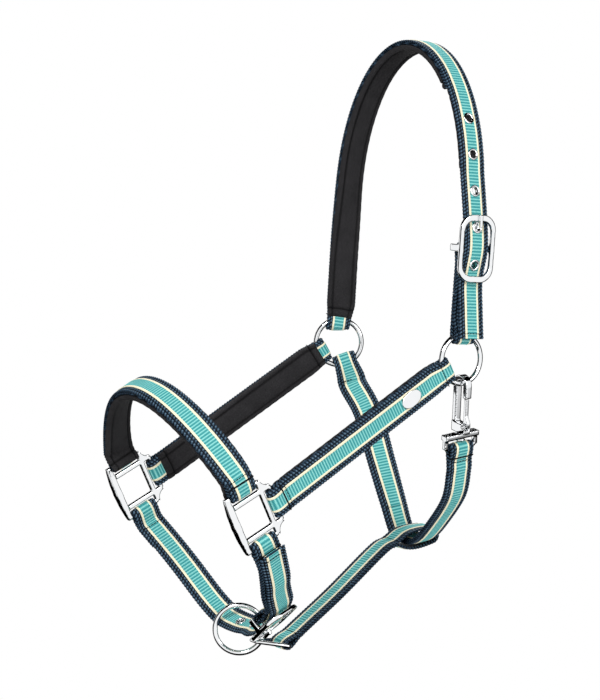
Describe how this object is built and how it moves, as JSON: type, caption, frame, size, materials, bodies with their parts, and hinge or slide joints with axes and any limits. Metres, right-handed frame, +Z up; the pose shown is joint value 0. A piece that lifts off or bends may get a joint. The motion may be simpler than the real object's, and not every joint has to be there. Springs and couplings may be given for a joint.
{
  "type": "padded head halter",
  "caption": "Padded webbing head halter for a horse, with buckled crown and chin, snap throat strap, rings and jaw link.",
  "frame": {"origin": "poll seat, on the inside of the crown pad at its top", "axes": "+Z up, the nose towards -Y, the animal's left side +X"},
  "size_m": [0.2094, 0.3035, 0.5125],
  "materials": {
    "webbing": "coarse navy nylon weave",
    "ribbon": "ribbed teal ribbon with cream edges",
    "padding": "soft charcoal lining",
    "badge": "polished blank oval",
    "chrome": "bright polished plating"
  },
  "bodies": {
    "straps": {"crown_strap": "webbing", "crown_ribbon": "ribbon", "crown_pad": "padding", "crown_eyelets": "chrome", "buckle_strap": "webbing", "buckle_ribbon": "ribbon", "crown_buckle_frame": "chrome", "near_cheek_strap": "webbing", "near_cheek_ribbon": "ribbon", "near_cheek_pad": "padding", "badge": "badge", "far_cheek_strap": "webbing", "far_cheek_ribbon": "ribbon", "far_cheek_pad": "padding", "near_square": "chrome", "far_square": "chrome", "noseband_strap": "webbing", "noseband_ribbon": "ribbon", "noseband_pad": "padding", "near_chin_strap": "webbing", "near_chin_ribbon": "ribbon", "far_chin_strap": "webbing", "far_chin_ribbon": "ribbon", "chin_eyelets": "chrome", "chin_buckle_frame": "chrome", "jaw_strap": "webbing", "jaw_ribbon": "ribbon", "throat_strap": "webbing", "throat_ribbon": "ribbon", "snap_loop": "chrome"},
    "near_ring": {"near_ring": "chrome"},
    "far_ring": {"far_ring": "chrome"},
    "lead_ring": {"lead_ring": "chrome"},
    "jaw_link": {"jaw_link": "chrome"},
    "crown_tongue": {"crown_buckle_tongue": "chrome"},
    "chin_tongue": {"chin_buckle_tongue": "chrome"},
    "snap": {"snap_hook": "chrome", "snap_pin": "chrome", "snap_spring": "chrome"},
    "gate": {"snap_gate": "chrome"}
  },
  "joints": [
    {"name": "near_ring_spin", "type": "hinge", "parent": "straps", "child": "near_ring", "pos_m": [0.088, -0.01779, -0.25438], "axis": [1, 0, 0], "continuous": true},
    {"name": "far_ring_spin", "type": "hinge", "parent": "straps", "child": "far_ring", "pos_m": [-0.088, -0.01779, -0.25438], "axis": [0.866, -0.5, 0], "continuous": true},
    {"name": "lead_ring_spin", "type": "hinge", "parent": "straps", "child": "lead_ring", "pos_m": [-0.00818, -0.17419, -0.47949], "axis": [0.829, -0.5592, 0], "continuous": true},
    {"name": "jaw_link_swing", "type": "hinge", "parent": "straps", "child": "jaw_link", "pos_m": [0.0001, -0.13776, -0.49457], "axis": [1, 0, 0], "range_deg": [-5, 5]},
    {"name": "crown_tongue_lift", "type": "hinge", "parent": "straps", "child": "crown_tongue", "pos_m": [0.0895, -0.01137, -0.1626], "axis": [0, 0.9976, -0.0698], "range_deg": [0, 5]},
    {"name": "chin_tongue_lift", "type": "hinge", "parent": "straps", "child": "chin_tongue", "pos_m": [0.05022, -0.18476, -0.45396], "axis": [0.1739, -0.9346, -0.3102], "range_deg": [0, 4]},
    {"name": "snap_swivel", "type": "hinge", "parent": "straps", "child": "snap", "pos_m": [0.088, -0.01567, -0.27452], "axis": [0.1908, -0.1026, 0.9762], "range_deg": [-10, 10]},
    {"name": "gate_swing", "type": "hinge", "parent": "snap", "child": "gate", "pos_m": [0.08732, -0.0118, -0.31137], "axis": [0, -0.9945, -0.1045], "range_deg": [0, 18], "stiffness_Nm_per_rad": 0.02, "springref_deg": -17.19}
  ]
}
